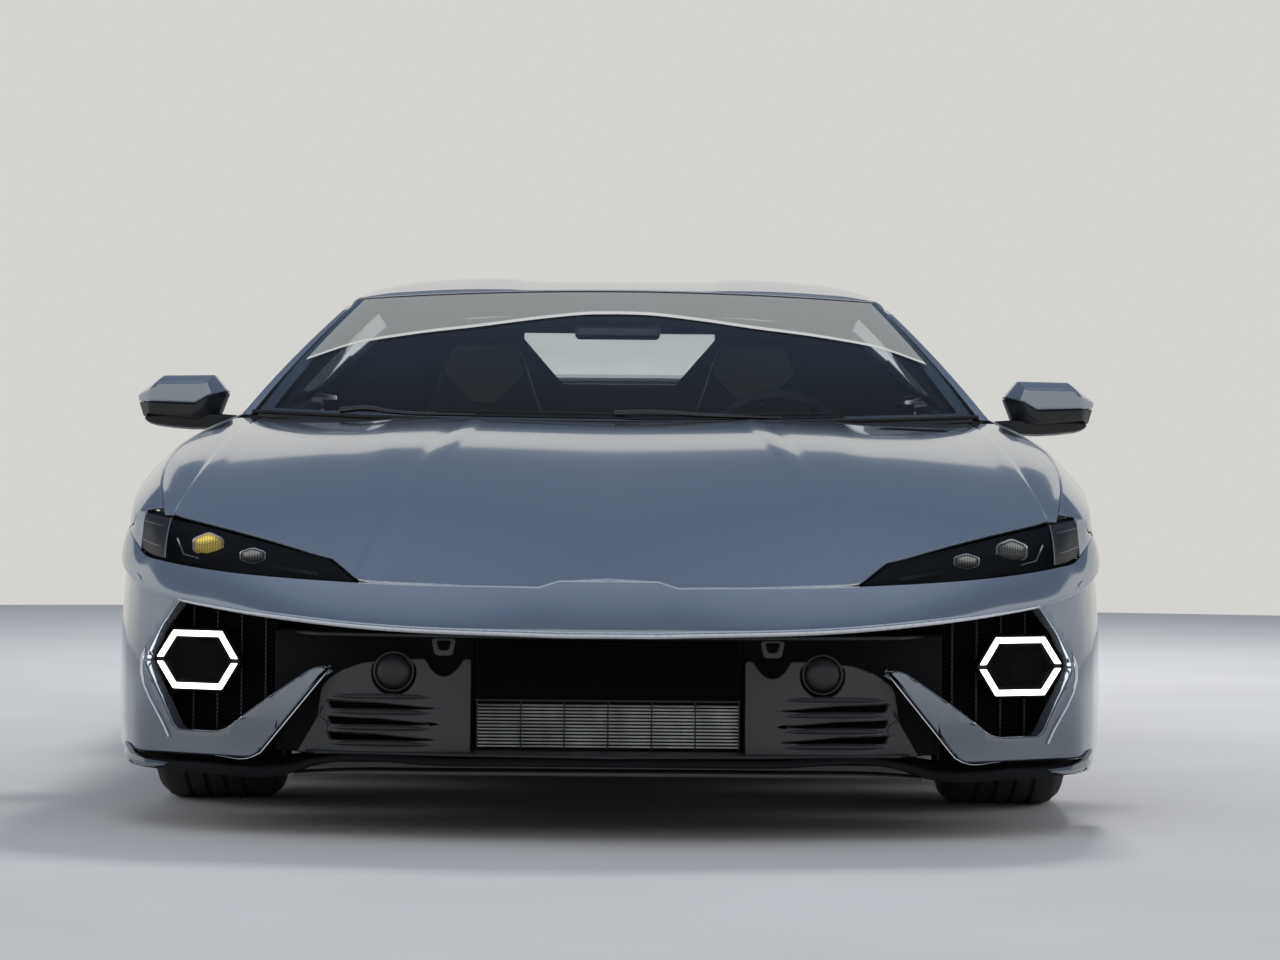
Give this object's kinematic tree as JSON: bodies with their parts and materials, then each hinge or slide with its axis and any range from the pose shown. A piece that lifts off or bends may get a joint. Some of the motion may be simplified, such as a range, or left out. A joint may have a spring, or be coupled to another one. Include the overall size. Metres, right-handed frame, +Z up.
{
  "type": "mid-engined two-seat supercar",
  "caption": "Low wide two-seat mid-engined supercar with turning and steering wheels, opening doors, front lid and engine lid.",
  "frame": {"origin": "on the ground, on the centre plane, midway between nose and tail", "axes": "+Z up, the nose points to -Y, the car's own left is +X"},
  "size_m": [2.246, 4.706, 1.2036],
  "materials": {
    "paint": "metallic silver-blue, clear coat",
    "carbon": "dark satin carbon",
    "black_plastic": "satin black",
    "core_metal": "satin",
    "lamp": "clear gloss",
    "tail_light": "clear red gloss",
    "glass": "clear tinted",
    "bright_metal": "brushed",
    "trim": "matte black",
    "leather": "soft matte",
    "tyre": "matte",
    "alloy": "satin grey",
    "dark_metal": "satin",
    "engine_metal": "cast"
  },
  "bodies": {
    "root": {"front_bumper": "paint", "splitter": "carbon", "intake_panel": "black_plastic", "radiators": "core_metal", "hex_lamps": "lamp", "windscreen": "glass", "roof": "paint", "side_ducts": "black_plastic", "rear_deck": "paint", "rear_bumper": "paint", "tail_lamps": "tail_light", "exhaust": "bright_metal", "tub": "carbon", "luggage_box": "black_plastic", "rear_frame": "dark_metal", "undertray": "carbon", "rear_window": "glass", "dashboard": "trim", "engine": "engine_metal", "uprights_rear": "dark_metal", "suspension": "dark_metal", "arch_liners": "black_plastic", "wipers": "black_plastic", "front_wing_left": "paint", "front_wing_right": "paint", "rear_quarter_left": "paint", "rear_quarter_right": "paint", "headlamp_left": "lamp", "headlamp_right": "lamp", "seat_left": "leather", "seat_right": "leather"},
    "bonnet": {"bonnet": "paint"},
    "engine_lid": {"engine_lid": "paint"},
    "door_left": {"door_left": "paint", "door_glass_left": "glass", "mirror_left": "paint"},
    "door_right": {"door_right": "paint", "door_glass_right": "glass", "mirror_right": "paint"},
    "upright_front_left": {"upright_front_left": "dark_metal"},
    "upright_front_right": {"upright_front_right": "dark_metal"},
    "wheel_front_left": {"wheel_front_left": "alloy", "tyre_front_left": "tyre"},
    "wheel_front_right": {"wheel_front_right": "alloy", "tyre_front_right": "tyre"},
    "wheel_rear_left": {"wheel_rear_left": "alloy", "tyre_rear_left": "tyre"},
    "wheel_rear_right": {"wheel_rear_right": "alloy", "tyre_rear_right": "tyre"},
    "steering_wheel": {"steering_wheel": "leather"}
  },
  "joints": [
    {"name": "bonnet_hinge", "type": "hinge", "parent": "root", "child": "bonnet", "pos_m": [0, -0.845, 0.85], "axis": [-1, 0, 0], "range_deg": [0, 50]},
    {"name": "engine_lid_hinge", "type": "hinge", "parent": "root", "child": "engine_lid", "pos_m": [0, 0.646, 0.934], "axis": [1, 0, 0], "range_deg": [0, 45]},
    {"name": "door_left_hinge", "type": "hinge", "parent": "root", "child": "door_left", "pos_m": [0.96, -0.695, 0.6], "axis": [0, 0, -1], "range_deg": [0, 62]},
    {"name": "door_right_hinge", "type": "hinge", "parent": "root", "child": "door_right", "pos_m": [-0.96, -0.695, 0.6], "axis": [0, 0, 1], "range_deg": [0, 62]},
    {"name": "steer_left", "type": "hinge", "parent": "root", "child": "upright_front_left", "pos_m": [0.805, -1.293, 0.343], "axis": [0, 0, 1], "range_deg": [-32, 32]},
    {"name": "steer_right", "type": "hinge", "parent": "root", "child": "upright_front_right", "pos_m": [-0.805, -1.293, 0.343], "axis": [0, 0, 1], "range_deg": [-32, 32]},
    {"name": "steering_column", "type": "hinge", "parent": "root", "child": "steering_wheel", "pos_m": [0.385, -0.318, 0.733], "axis": [0, 0.9397, 0.342], "range_deg": [-416, 416]},
    {"name": "spin_front_left", "type": "hinge", "parent": "upright_front_left", "child": "wheel_front_left", "pos_m": [0.835, -1.293, 0.343], "axis": [1, 0, 0], "continuous": true},
    {"name": "spin_front_right", "type": "hinge", "parent": "upright_front_right", "child": "wheel_front_right", "pos_m": [-0.835, -1.293, 0.343], "axis": [1, 0, 0], "continuous": true},
    {"name": "spin_rear_left", "type": "hinge", "parent": "root", "child": "wheel_rear_left", "pos_m": [0.813, 1.365, 0.364], "axis": [1, 0, 0], "continuous": true},
    {"name": "spin_rear_right", "type": "hinge", "parent": "root", "child": "wheel_rear_right", "pos_m": [-0.813, 1.365, 0.364], "axis": [1, 0, 0], "continuous": true}
  ],
  "couplings": [
    {"joint": "steer_right", "follows": "steer_left", "ratio": 1},
    {"joint": "steering_column", "follows": "steer_left", "ratio": -13}
  ]
}
